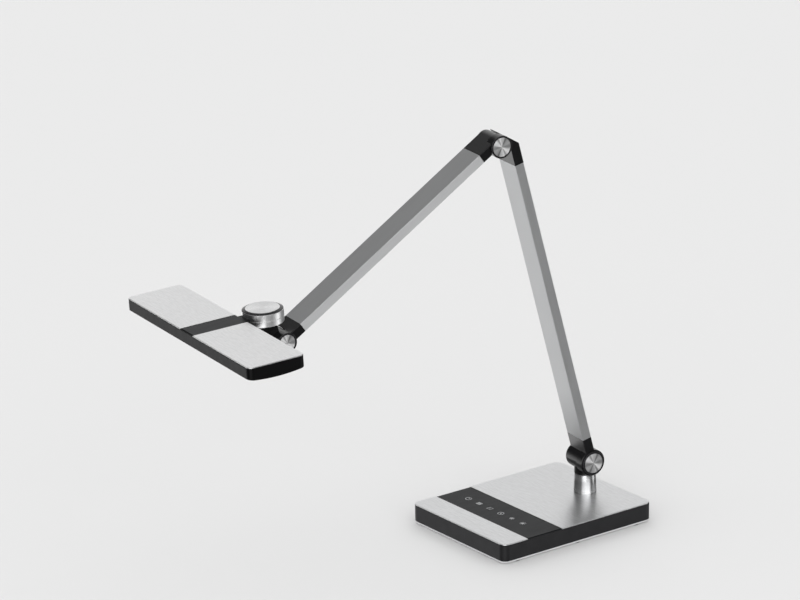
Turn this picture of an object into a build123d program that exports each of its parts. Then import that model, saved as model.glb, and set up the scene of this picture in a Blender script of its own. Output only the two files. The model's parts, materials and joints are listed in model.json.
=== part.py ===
from build123d import *
from math import acos, atan2, cos, hypot, sin
import os

# Articulated LED desk lamp. Millimetres and degrees.
# +X is to the right, -Y is the user's side, +Z is up.
# The origin is the centre of the footprint, on the surface that the feet stand on.

# ---- resting pose of the joints ----
rest_yaw = -7.8          # arms turned about the post, anticlockwise seen from above
rest_lean = 14.4         # lower arm leans this far from upright towards the user
rest_drop = 34.5         # upper arm runs this far below level towards the user
rest_tilt = 3.0          # lamp head nods this far towards the user
rest_head_yaw = 1.2      # lamp head turned about its own swivel

# ---- base ----
base_width = 158.0
base_length = 200.0
base_corner = 8.0
base_top = 22.0
foot_height = 1.2
foot_radius = 5.0
foot_x = 72.5
foot_pitch = 80.0
floor_thickness = 1.8
floor_inset = 0.8
rim_wall = 2.5
deck_thickness = 2.0
plate_thickness = 1.0
plate_inset = 0.3
panel_front = -68.3
panel_rear = -22.3
panel_inset = 1.6
panel_sink = 0.2
joint_gap = 0.2          # line between neighbouring top plates
icon_pitch = 18.5
icon_height = 0.12
icon_scale = 1.4
rim_bottom = foot_height + floor_thickness
deck_top = base_top - plate_thickness
deck_bottom = deck_top - deck_thickness
panel_middle = (panel_front + panel_rear) / 2
boss_x = 66.0
boss_y = 88.0
weight_size = (108.0, 122.0, 15.0)
weight_y = 14.0
weight_notch = 17.0      # room for the nut under the post
weight_screw_x = 44.0
weight_screw_y = 40.0
jack_x = -56.5
jack_z = 11.0
lead_end = -52.0

# ---- post and swivel ----
post_x = 9.5
post_y = 65.0
post_foot_radius = 12.5
post_top_radius = 11.4
post_top = 43.6
stud_radius = 8.4
post_ceiling = 33.0      # underside of the wall that the swivel axle runs through
axle_bottom = 28.2
slip = 0.4               # thickness of each slip ring
shoulder_height = 59.2
collar_radius = 11.6

# ---- pivots: X positions along each pivot, radii about it ----
arm_half = 16.25         # half the width of both arms
knuckle_face = arm_half
seam = 0.6               # gap for the friction washer between two knuckles
face_play = 0.02         # play at each face of a washer
bolt_radius = 3.0
bolt_bore = 3.05
recess_radius = 6.4
recess_depth = 5.2
left_recess = 8.0
cover_height = 1.8
shoulder_seam = 5.0      # the yoke's barrel ends here
shoulder_left = -18.5
shoulder_barrel = 13.3
shoulder_knuckle = 14.5
elbow_seam = 6.9
elbow_barrel = 10.55
elbow_knuckle = 12.0
wrist_barrel = 10.3
wrist_knuckle = 11.0
running = 0.6            # room between a cap and the barrel that turns in it

# ---- arms ----
arm_thick = 10.5
tube_wall = 1.4
tube_corner = 0.8
spigot = 12.0
lower_length = 381.8     # along the lower arm from shoulder to elbow
elbow_offset = 15.3      # the elbow stands this far in front of the lower arm's centre line
lower_cap = 29.5
lower_top_cap = 26.5
cap_shoulder = 4.1       # rear corner of the top cap, below the elbow
upper_length = 301.5     # along the upper arm from elbow to wrist
upper_rise = 5.3         # the upper arm's centre line lies this far above the elbow
upper_rear_cap = 24.3
upper_front_cap = 23.0

# ---- head bracket, puck and lamp head ----
puck_ahead = 16.1        # the puck's axis lies this far in front of the wrist
puck_radius = 21.4
puck_bottom = 22.8
puck_seam = 28.8
puck_shoulder = 35.9
puck_disc_radius = 17.7
puck_top = 37.4
puck_wall = 2.5
flange_radius = 14.0
head_rise = 31.4         # the head's top face above the wrist
head_length = 264.0
head_depth = 63.0
head_corner = 6.0
head_edge = 12.5         # thickness at the long edges
head_crown = 15.0        # thickness along the middle
head_ahead = 55.8        # the head's middle in front of the puck's axis
head_wall = 2.2
head_deck = 1.8
spine_width = 27.0
neck_width = 16.0
neck_screw_z = -5.6
head_screw_x = 5.5       # the two screws from inside the head
puck_screw_x = 2.2       # the two screws from inside the puck


def rounded_slab(width, length, radius, bottom, top, x=0.0, y=0.0):
    outline = Pos(x, y, bottom) * RectangleRounded(width, length, radius)
    return extrude(outline, top - bottom)


def upright(radius, bottom, top, x=0.0, y=0.0):
    return extrude(Pos(x, y, bottom) * Circle(radius), top - bottom)


def across(radius, left, right, y=0.0, z=0.0):
    """A cylinder along X from left to right."""
    return extrude(Plane.YZ.offset(left) * Pos(y, z, 0) * Circle(radius), right - left)


def block(x0, x1, y0, y1, z0, z1):
    middle = Pos((x0 + x1) / 2, (y0 + y1) / 2, (z0 + z1) / 2)
    return middle * Box(x1 - x0, y1 - y0, z1 - z0)


def side_prism(points, left, right):
    """A (Y, Z) polygon carried along X from left to right."""
    outline = make_face(Polyline(*points, close=True))
    return extrude(Plane.YZ.offset(left) * outline, right - left)


def knuckle(radius, left, y=0.0, z=0.0):
    """The right-hand half of a pivot, with a chamfer round its outer face."""
    drum = across(radius, left, knuckle_face, y, z)
    return chamfer(drum.faces().sort_by(Axis.X)[-1].edges(), 0.6)


def hexagon(across_flats, bottom, top, hole):
    nut = extrude(Pos(0, 0, bottom) * RegularPolygon(across_flats / 2, 6, major_radius=False),
                  top - bottom)
    return nut - upright(hole, bottom - 1, top + 1)


# ---------------------------------------------------------------- base

def base_rim():
    rim = rounded_slab(base_width, base_length, base_corner, rim_bottom, deck_top)
    rim = chamfer(rim.faces().sort_by(Axis.Z)[0].edges(), 0.5)
    rim -= rounded_slab(base_width - 2 * rim_wall, base_length - 2 * rim_wall,
                        base_corner - rim_wall, rim_bottom - 1, deck_bottom)
    for x in (-boss_x, boss_x):
        for y in (-boss_y, boss_y):
            rim += upright(4.0, rim_bottom, deck_bottom, x, y)
            rim -= upright(1.55, rim_bottom, rim_bottom + 11, x, y)
    rim -= upright(stud_radius + 0.1, deck_bottom - 1, deck_top + 1, post_x, post_y)
    rim -= block(-56, 56, panel_middle - 15, panel_middle + 15, deck_bottom - 1, deck_top + 1)
    jack_hole = Pos(jack_x, base_length / 2 + 1, jack_z) * Rot(90, 0, 0) * Cylinder(4.2, 12)
    return rim - jack_hole


def base_floor():
    floor = rounded_slab(base_width - 2 * floor_inset, base_length - 2 * floor_inset,
                         base_corner - floor_inset, foot_height, rim_bottom)
    for x, y in screw_places():
        floor -= upright(1.55, 0, rim_bottom + 1, x, y)
        floor -= Pos(x, y, foot_height + 0.65) * Cone(2.9, 1.55, 1.3)
    return floor


def screw_places():
    rim = [(x, y) for x in (-boss_x, boss_x) for y in (-boss_y, boss_y)]
    return rim + weight_places()


def weight_places():
    xs = (-weight_screw_x, weight_screw_x)
    return [(x, weight_y + y) for x in xs for y in (-weight_screw_y, weight_screw_y)]


def base_feet():
    feet = []
    for x in (-foot_x, foot_x):
        for row in (-1, 0, 1):
            foot = upright(foot_radius, 0, foot_height, x, row * foot_pitch)
            feet.append(fillet(foot.edges().sort_by(Axis.Z)[0], 0.4))
    return feet


def countersunk_screw(x, y, length):
    head = Pos(x, y, foot_height + 0.65) * Cone(2.85, 1.5, 1.3)
    screw = head + upright(1.5, foot_height + 1.3, foot_height + length, x, y)
    for turn in (0, 90):
        screw -= Pos(x, y, foot_height + 0.3) * Rot(0, 0, turn) * Box(2.6, 0.5, 0.8)
    return screw


def floor_screws():
    places = [p for p in screw_places() if p not in weight_places()]
    return [countersunk_screw(x, y, 11.0) for x, y in places]


def weight_screws():
    return [countersunk_screw(x, y, 8.0) for x, y in weight_places()]


def base_weight():
    width, length, height = weight_size
    weight = rounded_slab(width, length, 3, rim_bottom, rim_bottom + height, 0, weight_y)
    weight -= upright(weight_notch, rim_bottom - 1, rim_bottom + height + 1, post_x, post_y)
    for x, y in weight_places():
        weight -= upright(1.55, rim_bottom - 1, rim_bottom + 8, x, y)
    return weight


def top_plate(front, rear):
    """A brushed sheet over the deck between two Y positions."""
    sheet = rounded_slab(base_width - 2 * plate_inset, base_length - 2 * plate_inset,
                         base_corner - plate_inset, deck_top, base_top)
    sheet = chamfer(sheet.faces().sort_by(Axis.Z)[-1].edges(), 0.25)
    return sheet & block(-base_width, base_width, front, rear, deck_top, base_top)


def rear_plate():
    sheet = top_plate(panel_rear, base_length)
    return sheet - upright(stud_radius + 0.1, deck_top - 1, base_top + 1, post_x, post_y)


def touch_panel():
    half = base_width / 2 - panel_inset
    return block(-half, half, panel_front + joint_gap, panel_rear - joint_gap,
                 deck_top, base_top - panel_sink)


def on_panel(x, shape):
    """A flat sketch laid on the touch panel and raised by the thickness of the print."""
    printed = Pos(x, panel_middle, base_top - panel_sink) * scale(shape, by=icon_scale)
    return extrude(printed, icon_height)


def bulb_icon(x):
    glass = Circle(2.6) - Circle(2.05)
    stem = Pos(0, -3.4, 0) * Rectangle(2.0, 0.6)
    return [on_panel(x, glass), on_panel(x, stem), on_panel(x, Circle(0.7))]


def lines_icon(x):
    return [on_panel(x, Pos(0, row, 0) * Rectangle(4.6, 0.7)) for row in (-2.0, -0.7, 0.7, 2.0)]


def book_icon(x):
    page = Rectangle(2.5, 4.0) - Rectangle(1.7, 3.2)
    return [on_panel(x, Pos(side, 0, 0) * page) for side in (-1.35, 1.35)]


def dimmer_icon(x, spread):
    rays = PolarLocations(spread, 8) * Rectangle(1.0, 0.45)
    return [on_panel(x, Circle(1.3))] + [on_panel(x, ray) for ray in rays]


def power_icon(x):
    ring = Circle(2.6) - Circle(2.0) - Pos(0, 2.4, 0) * Rectangle(1.8, 2.0)
    return [on_panel(x, ring), on_panel(x, Pos(0, 1.9, 0) * Rectangle(0.6, 2.4))]


def touch_icons():
    first = -2.77 * icon_pitch
    icons = power_icon(first) + lines_icon(first + icon_pitch)
    icons += book_icon(first + 2 * icon_pitch) + bulb_icon(first + 3 * icon_pitch)
    icons += dimmer_icon(first + 4 * icon_pitch, 2.3)
    return icons + dimmer_icon(first + 5 * icon_pitch, 3.0)


def touch_board():
    return block(-52, 52, panel_middle - 14, panel_middle + 14, deck_top - 1.2, deck_top)


def driver_board():
    """The board with its inductor, capacitors, converter and two connectors."""
    board_z = rim_bottom + 3.0
    top = board_z + 1.6
    parts = [block(-61, 1, -92, -52, board_z, top)]
    for x in (-59, -1):
        for y in (-90, -54):
            parts.append(upright(1.8, rim_bottom, board_z, x, y))
    parts.append(block(jack_x - 3, jack_x + 3, lead_end - 8, lead_end, top, top + 5.5))
    parts.append(block(-15, -3, lead_end - 8, lead_end, top, top + 5.5))
    parts.append(block(-41, -29, -82, -70, top, top + 6.0))
    parts.append(block(-23, -17, -84, -79, top, top + 1.6))
    parts.append(upright(3.2, top, top + 8.0, -50, -84))
    parts.append(upright(3.2, top, top + 8.0, -9, -80))
    return parts


def dc_jack():
    """Socket block behind the rear wall, with its nose in the wall and a centre pin."""
    inner = base_length / 2 - rim_wall
    jack = block(jack_x - 4.5, jack_x + 4.5, inner - 13, inner, jack_z - 5.5, jack_z + 5.5)
    jack += Pos(jack_x, inner + 1.1, jack_z) * Rot(90, 0, 0) * Cylinder(4.1, 2.2)
    jack -= Pos(jack_x, inner - 3, jack_z) * Rot(90, 0, 0) * Cylinder(3.1, 12)
    return jack + Pos(jack_x, inner - 4.2, jack_z) * Rot(90, 0, 0) * Cylinder(1.05, 10)


def input_lead():
    rear = base_length / 2 - rim_wall - 13
    lead = Pos(jack_x, (rear + lead_end) / 2, rim_bottom + 7.4) * Rot(90, 0, 0)
    return lead * Cylinder(1.6, rear - lead_end)


# ---------------------------------------------------------------- post

def post():
    cone = Pos(post_x, post_y, (base_top + post_top) / 2)
    column = cone * Cone(post_foot_radius, post_top_radius, post_top - base_top)
    column = chamfer(column.faces().sort_by(Axis.Z)[-1].edges(), 0.4)
    column -= upright(stud_radius + 0.05, base_top - 1, post_ceiling, post_x, post_y)
    return column - upright(4.05, post_ceiling - 1, post_top + 1, post_x, post_y)


def post_stud():
    stud = upright(stud_radius, 13.0, 27.5, post_x, post_y)
    return stud - upright(6.9, 12, 28, post_x, post_y)


def post_nut():
    nut = hexagon(26.0, 14.0, 17.8, stud_radius + 0.05)
    collar = upright(15.0, 17.8, deck_bottom) - upright(stud_radius + 0.05, 17, 20)
    return Pos(post_x, post_y, 0) * (nut + collar)


# ------------------------------------------------ pivots, shared by shoulder, elbow and wrist

def pivot_bolt(left_face):
    """Socket-head bolt lying along X with its head in the left knuckle's recess."""
    floor = left_face + left_recess
    bolt = across(bolt_radius, floor - 0.5, knuckle_face - 1.0)
    bolt += across(5.0, floor - 4.0, floor)
    socket = Plane.YZ.offset(floor - 4.0) * RegularPolygon(2.0, 6, major_radius=False)
    return bolt - extrude(socket, 2.2)


def pivot_nut():
    floor = knuckle_face - recess_depth
    nut = Plane.YZ.offset(floor + 1.0) * RegularPolygon(5.0, 6, major_radius=False)
    return extrude(nut, 2.8) - across(bolt_bore, floor, knuckle_face)


def ring_across(outer, inner, left, right):
    return across(outer, left, right) - across(inner, left - 1, right + 1)


def pivot_washers(seam_left, seam_radius):
    """The friction washer between the knuckles and the spring washer under the nut."""
    floor = knuckle_face - recess_depth
    friction = ring_across(seam_radius, bolt_bore, seam_left + face_play,
                           seam_left + seam - face_play)
    return [friction, ring_across(5.6, bolt_bore, floor + face_play, floor + 1.0)]


def cover_ring(radius, disc_radius, y=0.0, z=0.0):
    """Black dish on the right-hand knuckle that holds the turned disc."""
    top = knuckle_face + cover_height
    dish = across(radius, knuckle_face, top, y, z)
    dish = fillet(dish.faces().sort_by(Axis.X)[-1].edges(), 0.5)
    dish -= across(disc_radius + 0.05, knuckle_face + 0.7, top + 1, y, z)
    plug = across(6.3, knuckle_face - 0.6, knuckle_face, y, z)
    return dish + plug


def cover_disc(disc_radius, y=0.0, z=0.0):
    """Radially turned metal disc, slightly dished, with a small centre dimple."""
    top = knuckle_face + cover_height - 0.2
    disc = across(disc_radius, knuckle_face + 0.7, top, y, z)
    disc = chamfer(disc.faces().sort_by(Axis.X)[-1].edges(), 0.2)
    return disc - Pos(top + 5.7, y, z) * Sphere(6.0)


def left_cover(left_face, radius):
    """Plain black cap over the bolt head on the left."""
    cap = across(radius, left_face - 1.4, left_face)
    cap = fillet(cap.faces().sort_by(Axis.X)[0].edges(), 1.0)
    return cap + across(6.3, left_face, left_face + 2.0)


def right_knuckle_holes(y=0.0, z=0.0):
    bore = across(bolt_bore, -40, 40, y, z)
    return bore + across(recess_radius, knuckle_face - recess_depth, knuckle_face + 1, y, z)


def left_knuckle_holes(left_face):
    bore = across(bolt_bore, -40, 40)
    return bore + across(recess_radius, left_face - 1, left_face + left_recess)


# --------------------------------------------------- swivel; origin at the shoulder pivot

def shoulder_yoke():
    collar_bottom = post_top + slip - shoulder_height
    yoke = upright(collar_radius, collar_bottom, 0)
    barrel = across(shoulder_barrel, shoulder_left, shoulder_seam)
    barrel = fillet(barrel.faces().sort_by(Axis.X)[0].edges(), 1.6)
    yoke += barrel
    yoke -= across(shoulder_knuckle + running, shoulder_seam, 40)
    yoke -= left_knuckle_holes(shoulder_left)
    return yoke - upright(4.02, collar_bottom - 1, -8)


def swivel_axle():
    axle = upright(4.0, axle_bottom - shoulder_height, -8.2)
    return axle - upright(2.2, -40, 0)


def shoulder_nuts():
    locknut = hexagon(11.5, axle_bottom + 0.2 - shoulder_height,
                      post_ceiling - 1.4 - shoulder_height, 4.05)
    return [pivot_nut(), locknut]


def shoulder_washers():
    ceiling = post_ceiling - shoulder_height
    cap = post_top - shoulder_height
    spring = upright(7.6, ceiling - 1.4, ceiling - face_play) - upright(4.1, -40, 0)
    slip_ring = upright(11.0, cap + face_play, cap + slip - face_play) - upright(4.1, -40, 0)
    return pivot_washers(shoulder_seam, 12.8) + [spring, slip_ring]


# ----------------------------------- lower arm; origin at the shoulder, Z along the arm

def bar_along_z(bottom, top, shrink=0.0):
    width = 2 * arm_half - 2 * shrink
    corner = max(tube_corner - shrink, 0.2)
    return rounded_slab(width, arm_thick - 2 * shrink, corner, bottom, top)


def lower_arm_tube():
    top = lower_length - lower_top_cap
    return bar_along_z(lower_cap, top) - bar_along_z(lower_cap - 1, top + 1, tube_wall)


def lower_arm_bottom_cap():
    cap = bar_along_z(1.0, lower_cap)
    cap -= block(-40, shoulder_seam + seam, -20, 20, 0, shoulder_barrel / 2)
    cap += knuckle(shoulder_knuckle, shoulder_seam + seam)
    cap -= across(shoulder_barrel + running, -40, shoulder_seam + seam)
    cap += bar_along_z(lower_cap, lower_cap + spigot, tube_wall + 0.1)
    cap -= right_knuckle_holes()
    return cap - upright(2.4, 5, lower_cap + spigot + 1, -6, 0)


def tangent_point(from_y, from_z, centre_y, centre_z, radius):
    """Upper touching point of the line from a point to a circle."""
    dy = from_y - centre_y
    dz = from_z - centre_z
    angle = atan2(dz, dy) + acos(radius / hypot(dy, dz))
    return (centre_y + radius * cos(angle), centre_z + radius * sin(angle))


def lower_arm_top_cap():
    half = arm_thick / 2
    foot = lower_length - lower_top_cap
    corner = lower_length - cap_shoulder
    touch = tangent_point(half, corner, -elbow_offset, lower_length, elbow_knuckle)
    front = lower_length - (elbow_knuckle ** 2 - (elbow_offset - half) ** 2) ** 0.5
    profile = [(-half, foot), (half, foot), (half, corner), touch,
               (-elbow_offset, lower_length), (-half, front)]
    cap = side_prism(profile, -arm_half, knuckle_face)
    cap -= across(elbow_barrel + running, -40, elbow_seam + seam, -elbow_offset, lower_length)
    cap -= block(-40, elbow_seam + seam, -40, -elbow_offset, foot, lower_length + 20)
    cap += across(elbow_knuckle, elbow_seam + seam, knuckle_face, -elbow_offset, lower_length)
    cap += bar_along_z(foot - spigot, foot, tube_wall + 0.1)
    cap -= right_knuckle_holes(-elbow_offset, lower_length)
    return cap - upright(2.4, foot - spigot - 1, foot + 12, -6, 0)


# -------------------------------------- upper arm; origin at the elbow, -Y along the arm

def bar_along_y(rear, front, shrink=0.0):
    """A bar from y = -rear to y = -front, on the upper arm's centre line."""
    corner = max(tube_corner - shrink, 0.2)
    outline = RectangleRounded(2 * arm_half - 2 * shrink, arm_thick - 2 * shrink, corner)
    section = Pos(0, -rear, upper_rise) * Rot(90, 0, 0) * outline
    return extrude(section, front - rear)


def upper_arm_tube():
    end = upper_length - upper_front_cap
    return bar_along_y(upper_rear_cap, end) - bar_along_y(upper_rear_cap - 1, end + 1, tube_wall)


def upper_arm_rear_cap():
    cap = bar_along_y(0, upper_rear_cap)
    cap -= across(elbow_knuckle + running, elbow_seam, 40)
    cap += across(elbow_barrel, -arm_half, elbow_seam)
    cap += bar_along_y(upper_rear_cap, upper_rear_cap + spigot, tube_wall + 0.1)
    cap -= left_knuckle_holes(-arm_half)
    cap -= upright(0.6, 8, 12, 5.4, -3.7)
    return cap - Pos(-6, -20, upper_rise) * Rot(90, 0, 0) * Cylinder(2.0, 40)


def upper_arm_front_cap():
    start = upper_length - upper_front_cap
    cap = bar_along_y(start, upper_length - 2)
    cap -= across(wrist_barrel + running, -40, elbow_seam + seam, -upper_length, upper_rise)
    cap -= block(-40, elbow_seam + seam, -upper_length - 20, 6 - upper_length, -20, 20)
    cap += across(wrist_knuckle, elbow_seam + seam, knuckle_face, -upper_length, upper_rise)
    cap += bar_along_y(start - spigot, start, tube_wall + 0.1)
    cap -= right_knuckle_holes(-upper_length, upper_rise)
    return cap - Pos(-6, -start, upper_rise) * Rot(90, 0, 0) * Cylinder(2.0, 40)


# ------------------------------------------ head bracket; origin at the wrist pivot

def wrist_bracket():
    """Barrel in the wrist, a neck up to the puck, and the flange that the puck turns on."""
    bracket = across(wrist_barrel, -arm_half, elbow_seam)
    neck = [(-2.7, 9.0), (-5.0, puck_bottom - 2), (-26.0, puck_bottom - 2), (-10.0, -1.5),
            (-4.0, 0.0)]
    bracket += side_prism(neck, -12.5, elbow_seam)
    bracket += upright(flange_radius, puck_bottom - 3.4, puck_bottom - slip, 0, -puck_ahead)
    bracket -= left_knuckle_holes(-arm_half)
    bracket -= upright(bolt_bore, 8, puck_bottom, 0, -puck_ahead)
    return bracket - upright(5.2, 5, puck_bottom - 4.4, 0, -puck_ahead)


def head_swivel_bolt():
    """Upright bolt through the flange and the floor of the puck, head down in the neck."""
    floor = puck_bottom - 4.4
    bolt = upright(bolt_radius, floor - 1, puck_bottom + 7.5, 0, -puck_ahead)
    return bolt + upright(4.9, floor - 3.6, floor, 0, -puck_ahead)


def wrist_nuts():
    top_nut = hexagon(10.0, puck_bottom + puck_wall + 1.2, puck_bottom + puck_wall + 4.2, bolt_bore)
    return [pivot_nut(), Pos(0, -puck_ahead, 0) * top_nut]


def wrist_washers():
    low = puck_bottom - slip
    high = puck_bottom + puck_wall
    slip_ring = upright(flange_radius - 0.4, low + face_play, low + slip - face_play)
    slip_ring -= upright(bolt_bore, 0, 40)
    spring = upright(6.2, high + face_play, high + 1.2) - upright(bolt_bore, 0, 40)
    rings = [Pos(0, -puck_ahead, 0) * ring for ring in (slip_ring, spring)]
    return pivot_washers(elbow_seam, 9.6) + rings


# ------------- lamp head; origin on the puck's axis, in the plane of the head's top face

def puck_lower_shell():
    low = puck_bottom - head_rise
    high = puck_seam - head_rise
    shell = upright(puck_radius, low, high)
    shell = chamfer(shell.edges().filter_by(GeomType.CIRCLE), 0.25)
    shell -= upright(puck_radius - puck_wall, low + puck_wall, high + 1)
    shell -= upright(bolt_bore, low - 1, high)
    for x in (-puck_screw_x, puck_screw_x):
        shell -= Pos(x, -puck_radius, neck_screw_z) * Rot(90, 0, 0) * Cylinder(1.3, 12)
        shell -= Pos(x, 4.5 - puck_radius, neck_screw_z) * Rot(90, 0, 0) * Cylinder(2.0, 3.0)
    return shell


def puck_upper_shell():
    low = puck_seam - head_rise
    high = puck_shoulder - head_rise
    shell = upright(puck_radius, low, high)
    shell = chamfer(shell.edges().filter_by(GeomType.CIRCLE), 0.25)
    return shell - upright(puck_radius - puck_wall, low - 1, high - 2)


def puck_trim():
    low = puck_shoulder - head_rise
    bevel = Pos(0, 0, low + 0.65) * Cone(puck_radius - 0.3, puck_disc_radius + 0.3, 1.3)
    return bevel - upright(puck_disc_radius + 0.05, low - 1, low + 3)


def puck_disc():
    disc = upright(puck_disc_radius, puck_shoulder - head_rise, puck_top - head_rise)
    return chamfer(disc.faces().sort_by(Axis.Z)[-1].edges(), 0.25)


def crowned_bar(shrink, top, lift):
    """The head's outline, flat on top and crowned below."""
    bar = rounded_slab(head_length - 2 * shrink, head_depth - 2 * shrink,
                       head_corner - shrink, -30, top, 0, -head_ahead)
    sag = head_crown - head_edge
    radius = (head_depth ** 2 / 4 + sag ** 2) / (2 * sag)
    return bar & across(radius, -head_length, head_length, -head_ahead,
                        lift - head_crown + radius)


def head_frame():
    frame = crowned_bar(0, -plate_thickness, 0)
    frame -= crowned_bar(head_wall, -plate_thickness - head_deck, -1)
    rear = head_depth / 2 - head_ahead
    for x in (-head_screw_x, head_screw_x):
        frame -= Pos(x, rear, neck_screw_z) * Rot(90, 0, 0) * Cylinder(1.3, 12)
    return frame


def head_plate(side):
    """One of the two brushed sheets on top of the head: side is -1 or 1."""
    sheet = rounded_slab(head_length - 0.8, head_depth - 0.8, head_corner - 0.4,
                         -plate_thickness, 0, 0, -head_ahead)
    sheet = chamfer(sheet.faces().sort_by(Axis.Z)[-1].edges(), 0.35)
    inner = side * (spine_width / 2 + joint_gap)
    outer = side * head_length
    return sheet & block(min(inner, outer), max(inner, outer), -100, 0, -2, 1)


def head_spine():
    """Black strip between the sheets, with the neck that reaches the puck."""
    front = -head_ahead - head_depth / 2 + 2.2
    rear = head_depth / 2 - head_ahead
    half = spine_width / 2
    strip = block(-half, half, front, rear - 0.2, -plate_thickness, -0.3)
    neck = block(-neck_width / 2, neck_width / 2, rear, 0, puck_bottom - head_rise + 0.6, -0.3)
    neck -= upright(puck_radius + 0.02, -20, 10)
    lap = block(-neck_width / 2, neck_width / 2, rear - 6, rear + 1, -plate_thickness, -0.3)
    spine = strip + lap + neck
    for x in (-head_screw_x, -puck_screw_x, puck_screw_x, head_screw_x):
        spine -= Pos(x, rear, neck_screw_z) * Rot(90, 0, 0) * Cylinder(1.05, 12)
    return spine


def neck_screws():
    """Two screws from inside the puck and two from inside the head, into the neck."""
    rear = head_depth / 2 - head_ahead
    inside_head = rear - head_wall
    inside_puck = 3.0 - puck_radius
    screws = []
    for half, face, inward in ((head_screw_x, inside_head, -1), (puck_screw_x, inside_puck, 1)):
        for x in (-half, half):
            shank = Pos(x, face - inward * 2.2, neck_screw_z) * Rot(90, 0, 0) * Cylinder(1.0, 4.6)
            head = Pos(x, face + inward * 0.6, neck_screw_z) * Rot(90, 0, 0) * Cylinder(1.8, 1.2)
            screws.append(shank + head)
    return screws


def reflector_sheet():
    top = -plate_thickness - head_deck
    return rounded_slab(head_length - 8, head_depth - 8, 3, top - 0.4, top, 0, -head_ahead)


def light_guide():
    top = -plate_thickness - head_deck - 0.4
    return block(-124, 124, -head_ahead - 26.5, -head_ahead + 26, top - 3.2, top)


def led_strip():
    top = -plate_thickness - head_deck - 0.4
    front = -head_ahead - head_depth / 2 + head_wall
    return block(-123, 123, front, front + 1.0, top - 4.6, top)


def leds():
    top = -plate_thickness - head_deck - 0.6
    front = -head_ahead - head_depth / 2 + head_wall + 1.0
    places = [-115 + 10 * step for step in range(24)]
    return [block(x - 1.75, x + 1.75, front, front + 0.9, top - 2.8, top) for x in places]


def diffuser():
    return crowned_bar(head_wall + 0.1, -8.0, 0) - crowned_bar(head_wall - 1, -7.0, 1.8)


# ---------------------------------------------------------------- assembly

swivel_place = Pos(post_x, post_y, shoulder_height) * Rot(0, 0, rest_yaw)
lower_place = swivel_place * Rot(rest_lean, 0, 0)
elbow_place = lower_place * Pos(0, -elbow_offset, lower_length)
upper_place = elbow_place * Rot(rest_drop - rest_lean, 0, 0)
wrist_place = upper_place * Pos(0, -upper_length, upper_rise)
bracket_place = wrist_place * Rot(rest_tilt - rest_drop, 0, 0)
head_place = bracket_place * Pos(0, -puck_ahead, head_rise) * Rot(0, 0, rest_head_yaw)

shoulder_disc_radius = 10.9
elbow_disc_radius = 10.2
wrist_disc_radius = 8.9

base_parts = {
    "base_rim": base_rim(),
    "base_floor": base_floor(),
    "base_feet": base_feet(),
    "floor_screws": floor_screws(),
    "weight_screws": weight_screws(),
    "base_weight": base_weight(),
    "front_plate": top_plate(-base_length, panel_front),
    "rear_plate": rear_plate(),
    "touch_panel": touch_panel(),
    "touch_icons": touch_icons(),
    "touch_board": touch_board(),
    "driver_board": driver_board(),
    "dc_jack": dc_jack(),
    "input_lead": input_lead(),
    "post": post(),
    "post_stud": post_stud(),
    "post_nut": post_nut(),
}
swivel_parts = {
    "shoulder_yoke": shoulder_yoke(),
    "swivel_axle": swivel_axle(),
    "shoulder_bolt": pivot_bolt(shoulder_left),
    "shoulder_nuts": shoulder_nuts(),
    "shoulder_washers": shoulder_washers(),
    "shoulder_left_cover": left_cover(shoulder_left, 11.4),
}
lower_parts = {
    "lower_arm_tube": lower_arm_tube(),
    "lower_arm_bottom_cap": lower_arm_bottom_cap(),
    "lower_arm_top_cap": lower_arm_top_cap(),
    "shoulder_ring": cover_ring(13.0, shoulder_disc_radius),
    "shoulder_disc": cover_disc(shoulder_disc_radius),
    "elbow_ring": cover_ring(elbow_knuckle, elbow_disc_radius, -elbow_offset, lower_length),
    "elbow_disc": cover_disc(elbow_disc_radius, -elbow_offset, lower_length),
}
upper_parts = {
    "upper_arm_tube": upper_arm_tube(),
    "upper_arm_rear_cap": upper_arm_rear_cap(),
    "upper_arm_front_cap": upper_arm_front_cap(),
    "elbow_bolt": pivot_bolt(-arm_half),
    "elbow_nut": pivot_nut(),
    "elbow_washers": pivot_washers(elbow_seam, 10.0),
    "elbow_left_cover": left_cover(-arm_half, 9.4),
    "wrist_ring": cover_ring(wrist_knuckle, wrist_disc_radius, -upper_length, upper_rise),
    "wrist_disc": cover_disc(wrist_disc_radius, -upper_length, upper_rise),
}
bracket_parts = {
    "wrist_bracket": wrist_bracket(),
    "wrist_bolt": pivot_bolt(-arm_half),
    "wrist_nuts": wrist_nuts(),
    "wrist_washers": wrist_washers(),
    "wrist_left_cover": left_cover(-arm_half, 9.2),
    "head_swivel_bolt": head_swivel_bolt(),
}
head_parts = {
    "puck_lower_shell": puck_lower_shell(),
    "puck_upper_shell": puck_upper_shell(),
    "puck_trim": puck_trim(),
    "puck_disc": puck_disc(),
    "head_frame": head_frame(),
    "head_plate_left": head_plate(-1),
    "head_plate_right": head_plate(1),
    "head_spine": head_spine(),
    "neck_screws": neck_screws(),
    "reflector_sheet": reflector_sheet(),
    "light_guide": light_guide(),
    "led_strip": led_strip(),
    "leds": leds(),
    "diffuser": diffuser(),
}
bodies = {
    "base": (Pos(0, 0, 0), base_parts),
    "swivel": (swivel_place, swivel_parts),
    "lower_arm": (lower_place, lower_parts),
    "upper_arm": (upper_place, upper_parts),
    "head_bracket": (bracket_place, bracket_parts),
    "head": (head_place, head_parts),
}

os.makedirs("parts", exist_ok=True)
for place, pieces in bodies.values():
    for name, piece in pieces.items():
        solids = piece if isinstance(piece, list) else [piece]
        placed = [solid.moved(place) for shape in solids for solid in shape.solids()]
        whole = placed[0] if len(placed) == 1 else Compound(children=placed)
        export_step(whole, f"parts/{name}.step")
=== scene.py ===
import json
from math import cos, radians, sin

import bpy
from mathutils import Matrix, Vector


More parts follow.
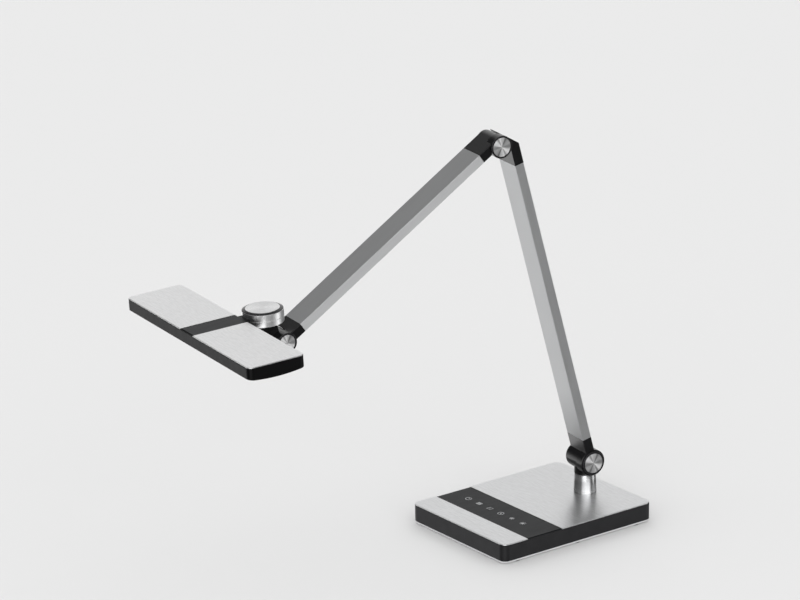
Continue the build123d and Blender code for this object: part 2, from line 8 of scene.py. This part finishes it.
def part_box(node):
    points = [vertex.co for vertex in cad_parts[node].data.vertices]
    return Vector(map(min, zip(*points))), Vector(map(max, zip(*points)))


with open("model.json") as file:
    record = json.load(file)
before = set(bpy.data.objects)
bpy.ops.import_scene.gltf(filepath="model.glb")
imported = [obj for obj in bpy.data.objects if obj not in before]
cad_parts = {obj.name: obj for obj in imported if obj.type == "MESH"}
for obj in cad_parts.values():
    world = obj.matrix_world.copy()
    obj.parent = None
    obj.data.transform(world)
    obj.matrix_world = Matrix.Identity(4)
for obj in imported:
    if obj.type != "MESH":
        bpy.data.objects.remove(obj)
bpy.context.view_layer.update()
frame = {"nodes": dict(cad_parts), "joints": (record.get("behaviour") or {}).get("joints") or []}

nodes = frame["nodes"]
joints = {joint["name"]: joint for joint in frame["joints"]}

# ---- resting pose, as in the CAD ----
rest_lean = radians(14.4)         # lower arm, forward of upright
rest_drop = radians(34.5)         # upper arm, below level
rest_head_yaw = radians(-6.6)     # long edge of the head, about Z

# ---- directions on the object ----
up = Vector((0, 0, 1))
pivot_axis = Vector(joints["shoulder_tilt"]["axis"]).normalized()
head_up = Vector(joints["head_swivel"]["axis"]).normalized()
ahead = Vector((pivot_axis.y, -pivot_axis.x, 0.0))
lower_along = ahead * sin(rest_lean) + up * cos(rest_lean)
upper_along = ahead * cos(rest_drop) - up * sin(rest_drop)
head_side = Vector((cos(rest_head_yaw), sin(rest_head_yaw), 0.0))
head_across = (head_side - head_up * head_side.dot(head_up)).normalized()


def basis(along, across):
    """Local frame whose columns run along, across and out of a surface."""
    along = along.normalized()
    out = along.cross(across).normalized()
    return Matrix((along, out.cross(along), out)).transposed()


flat_frame = basis(Vector((1, 0, 0)), Vector((0, 1, 0)))
lower_frame = basis(lower_along, pivot_axis)
upper_frame = basis(upper_along, pivot_axis)
head_frame = basis(head_across, head_up.cross(head_across))

# ---- tones ----
silver = (0.80, 0.805, 0.81)
bright_silver = (0.88, 0.885, 0.89)
tube_silver = (0.53, 0.535, 0.54)
post_silver = (0.74, 0.745, 0.75)
puck_top_silver = (0.90, 0.905, 0.91)
puck_silver = (0.94, 0.945, 0.95)
disc_silver = (0.99, 0.99, 0.995)
worn_edge = (0.93, 0.93, 0.94)
zinc = (0.52, 0.52, 0.54)
oxide = (0.10, 0.10, 0.105)
rim_black = (0.011, 0.011, 0.012)
cap_black = (0.0025, 0.0025, 0.0028)
head_black = (0.0012, 0.0012, 0.0014)
ring_black = (0.012, 0.012, 0.013)
strip_black = (0.010, 0.0105, 0.0112)

# ---- scale of the finishes, in metres ----
scratch_width = 0.00025
scratch_band = 0.0016
metal_patch = 0.05
groove = 0.00045                  # pitch of the turning marks
plastic_patch = 0.02
finger_smear = (0.006, 0.03, 0.012)
quarter_turn = 0.25               # sends a highlight across the scratches

# Painted reflection: bright and dark rays painted into the colour of a turned disc, by the
# cosine of the angle from upright.
painted_reflection_rays = ((0.0, 0.36), (0.14, 0.42), (0.40, 0.80), (0.68, 0.86), (0.80, 0.70), (0.87, 0.36),
             (0.92, 0.50), (0.965, 1.0))


# ---------------------------------------------------------------- material tools

def shade(tone, factor):
    return tuple(min(1.0, channel * factor) for channel in tone)


def colour_sockets(sockets, name):
    return [socket for socket in sockets if socket.name == name and socket.type == "RGBA"]


class Shader:
    """A material's node tree with short calls for the nodes used here."""

    def __init__(self, name, colour, roughness, metallic=0.0):
        self.material = bpy.data.materials.new(name)
        self.material.use_nodes = True
        self.tree = self.material.node_tree
        self.tree.nodes.clear()
        self.bsdf = self.add("ShaderNodeBsdfPrincipled")
        surface = self.add("ShaderNodeOutputMaterial").inputs["Surface"]
        self.link(self.bsdf.outputs[0], surface)
        self.set(self.bsdf, "Base Color", (*colour, 1.0))
        self.set(self.bsdf, "Roughness", roughness)
        self.set(self.bsdf, "Metallic", metallic)
        self.place = self.add("ShaderNodeTexCoord").outputs["Object"]
        self.normal = None

    def add(self, kind, **settings):
        node = self.tree.nodes.new(kind)
        for key, value in settings.items():
            setattr(node, key, value)
        return node

    def set(self, node, socket, value):
        node.inputs[socket].default_value = value

    def link(self, source, target):
        self.tree.links.new(source, target)

    def vary(self, socket, source):
        """Let a varying value drive one of the surface's own sockets."""
        self.link(source, self.bsdf.inputs[socket])

    def noise(self, size, axes=None, detail=3.0, rough=0.55):
        """Noise over object coordinates, stretched to size along the local frame."""
        mapping = self.add("ShaderNodeMapping", vector_type="TEXTURE")
        if axes is not None:
            self.set(mapping, "Rotation", axes.to_euler())
        self.set(mapping, "Scale", size)
        self.link(self.place, mapping.inputs["Vector"])
        texture = self.add("ShaderNodeTexNoise")
        self.set(texture, "Scale", 1.0)
        self.set(texture, "Detail", detail)
        self.set(texture, "Roughness", rough)
        self.link(mapping.outputs[0], texture.inputs["Vector"])
        return texture.outputs["Fac"]

    def remap(self, source, low, high, from_low=0.3, from_high=0.7):
        node = self.add("ShaderNodeMapRange")
        self.set(node, "From Min", from_low)
        self.set(node, "From Max", from_high)
        self.set(node, "To Min", low)
        self.set(node, "To Max", high)
        self.link(source, node.inputs["Value"])
        return node.outputs["Result"]

    def maths(self, operation, *sources):
        node = self.add("ShaderNodeMath", operation=operation)
        for source, socket in zip(sources, node.inputs):
            self.link(source, socket)
        return node.outputs[0]

    def vector(self, operation, first, second=None):
        """A vector operation whose second input is a socket or a fixed vector."""
        node = self.add("ShaderNodeVectorMath", operation=operation)
        self.link(first, node.inputs[0])
        if isinstance(second, Vector):
            node.inputs[1].default_value = second
        elif second is not None:
            self.link(second, node.inputs[1])
        return node.outputs["Value" if operation in ("DOT_PRODUCT", "LENGTH") else "Vector"]

    def ramp(self, source, stops):
        node = self.add("ShaderNodeValToRGB")
        ramp = node.color_ramp
        while len(ramp.elements) < len(stops):
            ramp.elements.new(0.5)
        for element, (position, colour) in zip(ramp.elements, stops):
            element.position = position
            element.color = (*colour, 1.0)
        self.link(source, node.inputs["Fac"])
        return node.outputs["Color"]

    def blend(self, factor, first, second, mode="MIX"):
        """Mix two colours, each a socket or a fixed tone, by a socket or a fixed factor."""
        node = self.add("ShaderNodeMix", data_type="RGBA", blend_type=mode)
        if isinstance(factor, float):
            self.set(node, "Factor", factor)
        else:
            self.link(factor, node.inputs["Factor"])
        for name, value in (("A", first), ("B", second)):
            target = colour_sockets(node.inputs, name)[0]
            if isinstance(value, tuple):
                target.default_value = (*value, 1.0)
            else:
                self.link(value, target)
        return colour_sockets(node.outputs, "Result")[0]

    def rounded(self, radius):
        """Normals rounded over the edges, and how near an edge each point is."""
        bevel = self.add("ShaderNodeBevel", samples=4)
        self.set(bevel, "Radius", radius)
        self.normal = bevel.outputs[0]
        flat = self.add("ShaderNodeNewGeometry").outputs["Normal"]
        turn = self.vector("DOT_PRODUCT", self.normal, flat)
        return self.remap(turn, 1.0, 0.0, 0.80, 0.995)

    def scratched(self, direction, anisotropy):
        """Stretch highlights across scratches that run in an object-space direction."""
        self.set(self.bsdf, "Anisotropic", anisotropy)
        self.set(self.bsdf, "Anisotropic Rotation", quarter_turn)
        turn = self.add("ShaderNodeVectorTransform", vector_type="VECTOR",
                        convert_from="OBJECT", convert_to="WORLD")
        if isinstance(direction, Vector):
            self.set(turn, "Vector", direction)
        else:
            self.link(direction, turn.inputs["Vector"])
        self.vary("Tangent", turn.outputs[0])

    def bump(self, height, distance, strength=1.0):
        node = self.add("ShaderNodeBump")
        self.set(node, "Strength", strength)
        self.set(node, "Distance", distance)
        self.link(height, node.inputs["Height"])
        if self.normal is not None:
            self.link(self.normal, node.inputs["Normal"])
        self.normal = node.outputs[0]

    def finish(self):
        if self.normal is not None:
            self.vary("Normal", self.normal)
        return self.material


# ---------------------------------------------------------------- finishes

def brushed(name, tone, axes, roughness=0.34, streak=0.016, contrast=0.16, anisotropy=0.45):
    """Aluminium with long fine scratches along the first axis of the frame."""
    s = Shader(name, tone, roughness, 1.0)
    edge = s.rounded(0.00025)
    fine = s.noise((streak, scratch_width, scratch_width), axes, detail=4.0, rough=0.7)
    broad = s.noise((streak * 0.6, scratch_band, scratch_band), axes)
    patches = s.noise((metal_patch,) * 3, axes, detail=2.0)
    grain = s.maths("ADD", s.remap(fine, -0.5, 0.5), s.remap(broad, -0.5, 0.5))
    level = s.remap(grain, 0.0, 1.0, -0.8, 0.8)
    colour = s.ramp(level, [(0.0, shade(tone, 1 - contrast)), (1.0, shade(tone, 1 + contrast))])
    colour = s.blend(s.remap(patches, 0.0, 0.12), colour, shade(tone, 0.82))
    colour = s.blend(s.remap(edge, 0.0, 0.45, 0.0, 1.0), colour, worn_edge)
    s.vary("Base Color", colour)
    s.vary("Roughness", s.remap(level, roughness - 0.06, roughness + 0.10, 0.0, 1.0))
    s.scratched(axes.col[0], anisotropy)
    s.bump(grain, 0.00002, 0.35)
    return s.finish()


def turned(name, tone, centre, axis, roughness=0.32, anisotropy=0.9, painted_rays_axis=None):
    """Metal turned on a lathe: fine rings about the axis, and painted reflection rays in the
    colour if an axis for them is given.
    """
    s = Shader(name, tone, roughness, 1.0)
    edge = s.rounded(0.0002)
    around = s.vector("CROSS_PRODUCT", s.vector("SUBTRACT", s.place, centre), axis)
    heading = s.vector("NORMALIZE", around)
    rings = s.add("ShaderNodeTexNoise", noise_dimensions="1D")
    s.set(rings, "Scale", 1.0 / groove)
    s.set(rings, "Detail", 3.0)
    s.link(s.vector("LENGTH", around), rings.inputs["W"])
    level = s.remap(rings.outputs["Fac"], 0.0, 1.0)
    spokes = s.add("ShaderNodeTexNoise")
    s.set(spokes, "Scale", 2.6)
    s.set(spokes, "Detail", 5.0)
    s.link(heading, spokes.inputs["Vector"])
    colour = s.ramp(level, [(0.0, shade(tone, 0.80)), (1.0, shade(tone, 1.12))])
    colour = s.blend(s.remap(spokes.outputs["Fac"], 0.0, 0.3), colour, shade(tone, 0.7))
    # painted reflection: bright and dark rays multiplied into the colour, measured from the
    # given axis
    if painted_rays_axis is not None:
        upright = s.maths("ABSOLUTE", s.vector("DOT_PRODUCT", heading, painted_rays_axis))
        painted_rays = s.ramp(upright, [(cosine, (value,) * 3) for cosine, value in painted_reflection_rays])
        colour = s.blend(1.0, colour, painted_rays, "MULTIPLY")
    colour = s.blend(s.remap(edge, 0.0, 0.5, 0.0, 1.0), colour, worn_edge)
    s.vary("Base Color", colour)
    s.vary("Roughness", s.remap(level, roughness - 0.05, roughness + 0.08, 0.0, 1.0))
    s.scratched(around, anisotropy)
    s.bump(level, 0.00003, 0.4)
    return s.finish()


def moulded(name, tone, roughness=0.42, grain=0.0006, worn=0.35, depth=0.00003, gloss=0.4,
            coat=0.0, mottle=0.18):
    """Moulded plastic or satin lacquer with a fine texture and slightly rubbed edges."""
    s = Shader(name, tone, roughness)
    s.set(s.bsdf, "Specular IOR Level", gloss)
    s.set(s.bsdf, "Coat Weight", coat)
    s.set(s.bsdf, "Coat Roughness", 0.22)
    edge = s.rounded(0.0003)
    fine = s.noise((grain,) * 3, detail=4.0, rough=0.6)
    patches = s.noise((plastic_patch,) * 3)
    smear = s.noise(finger_smear)
    colour = s.ramp(patches, [(0.3, shade(tone, 1 - mottle)), (0.7, shade(tone, 1 + mottle))])
    rub = s.maths("MULTIPLY", s.remap(edge, 0.0, worn, 0.1, 1.0), s.remap(fine, 0.5, 1.0))
    s.vary("Base Color", s.blend(rub, colour, shade(tone, 4.0)))
    matt = s.remap(fine, roughness - 0.05, roughness + 0.05)
    s.vary("Roughness", s.maths("ADD", matt, s.remap(smear, -0.02, 0.03)))
    s.bump(fine, depth, 0.5)
    return s.finish()


def plated(name, tone, roughness=0.32):
    """Small steel hardware with a mottled plated finish."""
    s = Shader(name, tone, roughness, 1.0)
    edge = s.rounded(0.00015)
    fine = s.noise((0.0004, 0.0004, 0.0016))
    patches = s.noise((0.003,) * 3)
    colour = s.ramp(patches, [(0.3, shade(tone, 0.8)), (0.7, shade(tone, 1.1))])
    colour = s.blend(s.remap(edge, 0.0, 0.5, 0.0, 1.0), colour, shade(tone, 1.5))
    s.vary("Base Color", colour)
    s.vary("Roughness", s.remap(fine, roughness - 0.08, roughness + 0.12))
    s.bump(fine, 0.00002, 0.4)
    return s.finish()


def paint(material, *names):
    """Give every slot of the named CAD nodes one material."""
    for name in names:
        for slot in nodes[name].material_slots:
            slot.material = material


def centre_of(node):
    low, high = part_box(node)
    return (low + high) / 2


def finish_brushed():
    """Sheets on the base and head, and the two square tubes."""
    tube = {"roughness": 0.44, "streak": 0.06, "contrast": 0.05, "anisotropy": 0.88}
    paint(brushed("brushed_base", silver, flat_frame), "front_plate", "rear_plate")
    paint(brushed("brushed_head", bright_silver, head_frame), "head_plate_left",
          "head_plate_right")
    paint(brushed("brushed_lower_arm", tube_silver, lower_frame, **tube), "lower_arm_tube")
    paint(brushed("brushed_upper_arm", tube_silver, upper_frame, **tube), "upper_arm_tube")


def finish_turned():
    """Post, pivot discs and puck."""
    paint(turned("turned_post", post_silver, centre_of("post"), up, roughness=0.20,
                 anisotropy=0.3), "post")
    # the pivot discs get painted reflection rays in their colour
    for node in ("shoulder_disc", "elbow_disc", "wrist_disc"):
        paint(turned("turned_" + node, disc_silver, centre_of(node), pivot_axis,
                     roughness=0.46, anisotropy=0.75, painted_rays_axis=ahead), node)
    middle = centre_of("puck_disc")
    paint(turned("turned_puck_top", puck_top_silver, middle, head_up, anisotropy=0.6),
          "puck_disc")
    paint(turned("turned_puck_body", puck_silver, middle, head_up, roughness=0.28,
                 anisotropy=0.5), "puck_lower_shell", "puck_upper_shell")


def finish_black():
    """Black shells, caps, rings and touch strip, and the parts set in them."""
    paint(moulded("moulded_rim", rim_black, gloss=0.15), "base_rim")
    paint(moulded("moulded_head", head_black, gloss=0.10), "head_frame")
    paint(moulded("moulded_cap", cap_black, roughness=0.32, gloss=0.12, coat=0.62),
          "shoulder_yoke", "shoulder_left_cover", "lower_arm_bottom_cap",
          "lower_arm_top_cap", "upper_arm_rear_cap", "upper_arm_front_cap",
          "elbow_left_cover", "wrist_bracket", "wrist_left_cover")
    paint(moulded("gloss_ring", ring_black, roughness=0.2, depth=0.00001),
          "shoulder_ring", "elbow_ring", "wrist_ring", "puck_trim")
    paint(moulded("satin_strip", strip_black, roughness=0.35, depth=0.00001, gloss=0.08),
          "touch_panel", "head_spine")
    paint(moulded("icon_print", (0.30, 0.305, 0.31), roughness=0.5), "touch_icons")
    paint(moulded("foot_rubber", (0.02, 0.02, 0.02), roughness=0.7, grain=0.0004),
          "base_feet")
    paint(moulded("jack_plastic", (0.015, 0.015, 0.016), roughness=0.4), "dc_jack")
    paint(moulded("lead_plastic", (0.02, 0.02, 0.02), roughness=0.5), "input_lead")


def finish_underside():
    """Floor plate of the base and the light opening of the head."""
    paint(moulded("floor_paint", (0.55, 0.55, 0.56), roughness=0.5, worn=0.1, mottle=0.03),
          "base_floor")
    paint(moulded("opal_diffuser", (0.80, 0.80, 0.78), roughness=0.5, worn=0.05,
                  mottle=0.01), "diffuser")
    paint(moulded("reflector_film", (0.85, 0.85, 0.85), roughness=0.35, mottle=0.02),
          "reflector_sheet")
    paint(moulded("guide_acrylic", (0.78, 0.82, 0.84), roughness=0.12, mottle=0.02),
          "light_guide")
    paint(moulded("strip_board", (0.80, 0.80, 0.76), roughness=0.5, mottle=0.05),
          "led_strip")
    paint(moulded("led_phosphor", (0.85, 0.70, 0.18), roughness=0.4), "leds")


def finish_hidden():
    """Weight, boards and hardware inside."""
    paint(moulded("cast_weight", (0.05, 0.05, 0.05), roughness=0.7, grain=0.0012,
                  depth=0.0002), "base_weight")
    paint(moulded("solder_resist", (0.01, 0.10, 0.035), roughness=0.35),
          "touch_board", "driver_board")
    paint(plated("zinc_plate", zinc),
          "floor_screws", "weight_screws", "post_stud", "post_nut", "swivel_axle",
          "shoulder_nuts", "shoulder_washers", "elbow_nut", "elbow_washers",
          "wrist_nuts", "wrist_washers", "head_swivel_bolt", "neck_screws")
    paint(plated("black_oxide", oxide, roughness=0.4),
          "shoulder_bolt", "elbow_bolt", "wrist_bolt")


def smooth(node, angle=radians(28)):
    """Curved CAD faces shade smoothly, edges stay sharp."""
    mesh = nodes[node].data
    mesh.shade_smooth()
    mesh.set_sharp_from_angle(angle=angle)


for name in nodes:
    smooth(name)
finish_brushed()
finish_turned()
finish_black()
finish_underside()
finish_hidden()


# ---------------------------------------------------------------- studio

floor_half = 12.0
ambient = 0.08

# Soft bright cards round the object: direction, full within, none beyond, strength.
cards = (
    ((-0.72, 0.65, 0.22), 24, 48, 0.78),
    ((-0.80, -0.16, -0.55), 20, 46, 1.40),
    ((0.94, -0.16, 0.30), 13, 30, 1.90),
    ((0.45, 0.60, -0.66), 12, 27, 1.95),
    ((0.66, -0.75, -0.40), 14, 32, 1.70),
    ((0.64, -0.77, 0.15), 14, 30, 1.60),
    ((0.50, 0.86, 0.02), 8, 24, 1.20),
    ((0.10, -0.10, 1.00), 20, 60, 0.35),
)

# Camera of the photograph.
camera_azimuth = radians(53.47)
camera_elevation = radians(18.30)
camera_roll = radians(-0.94)
camera_lens = 180.0
camera_place = (3.10238, -2.46797, 1.56079)


def place(name, data):
    item = bpy.data.objects.new(name, data)
    bpy.context.scene.collection.objects.link(item)
    return item


def studio_floor():
    """Pale paper that stays out of reflections, which come from the cards."""
    mesh = bpy.data.meshes.new("floor")
    corners = [(-floor_half, -floor_half, 0), (floor_half, -floor_half, 0),
               (floor_half, floor_half, 0), (-floor_half, floor_half, 0)]
    mesh.from_pydata(corners, [], [(0, 1, 2, 3)])
    paper = Shader("floor_paper", (0.662, 0.662, 0.662), 0.9)
    paper.set(paper.bsdf, "Specular IOR Level", 0.1)
    mesh.materials.append(paper.finish())
    floor = place("floor", mesh)
    floor.visible_glossy = False
    floor.visible_shadow = False


def soft_sun(strength, spread, tilt):
    """Broad even light from above that leaves reflections to the studio cards."""
    light = bpy.data.lights.new("sky_light", "SUN")
    light.energy = strength
    light.angle = radians(spread)
    lamp = place("sky_light", light)
    lamp.rotation_euler = tuple(radians(angle) for angle in tilt)
    lamp.visible_glossy = False


def card_light(tree, direction, aim, inner, outer, strength):
    """Brightness of one card in a direction, soft between its two angles."""
    dot = tree.nodes.new("ShaderNodeVectorMath")
    dot.operation = "DOT_PRODUCT"
    dot.inputs[1].default_value = Vector(aim).normalized()
    tree.links.new(direction, dot.inputs[0])
    card = tree.nodes.new("ShaderNodeMapRange")
    card.interpolation_type = "SMOOTHSTEP"
    card.inputs["From Min"].default_value = cos(radians(outer))
    card.inputs["From Max"].default_value = cos(radians(inner))
    card.inputs["To Max"].default_value = strength
    tree.links.new(dot.outputs["Value"], card.inputs["Value"])
    return card.outputs["Result"]


def studio_world():
    """A dim studio lit by the soft bright cards."""
    world = bpy.data.worlds.new("studio")
    bpy.context.scene.world = world
    world.use_nodes = True
    tree = world.node_tree
    direction = tree.nodes.new("ShaderNodeTexCoord").outputs["Generated"]
    total = None
    for card in cards:
        add = tree.nodes.new("ShaderNodeMath")
        tree.links.new(card_light(tree, direction, *card), add.inputs[0])
        if total is None:
            add.inputs[1].default_value = ambient
        else:
            tree.links.new(total, add.inputs[1])
        total = add.outputs[0]
    background = tree.nodes["Background"]
    background.inputs["Color"].default_value = (1.0, 1.0, 1.0, 1.0)
    tree.links.new(total, background.inputs["Strength"])


def studio_camera():
    level = cos(camera_elevation)
    right = Vector((cos(camera_azimuth), sin(camera_azimuth), 0.0))
    view = Vector((-sin(camera_azimuth) * level, cos(camera_azimuth) * level,
                   -sin(camera_elevation)))
    above = right.cross(view)
    rolled_right = right * cos(camera_roll) + above * sin(camera_roll)
    rolled_above = above * cos(camera_roll) - right * sin(camera_roll)
    camera = bpy.data.cameras.new("camera")
    camera.lens = camera_lens
    camera.sensor_width = 36.0
    camera.clip_end = 60.0
    seat = place("camera", camera)
    turn = Matrix((rolled_right, rolled_above, -view)).transposed()
    seat.matrix_world = Matrix.Translation(camera_place) @ turn.to_4x4()
    bpy.context.scene.camera = seat


studio_floor()
studio_world()
soft_sun(strength=2.6, spread=150, tilt=(12, -14, 0))
studio_camera()
bpy.context.scene.view_settings.view_transform = "Standard"
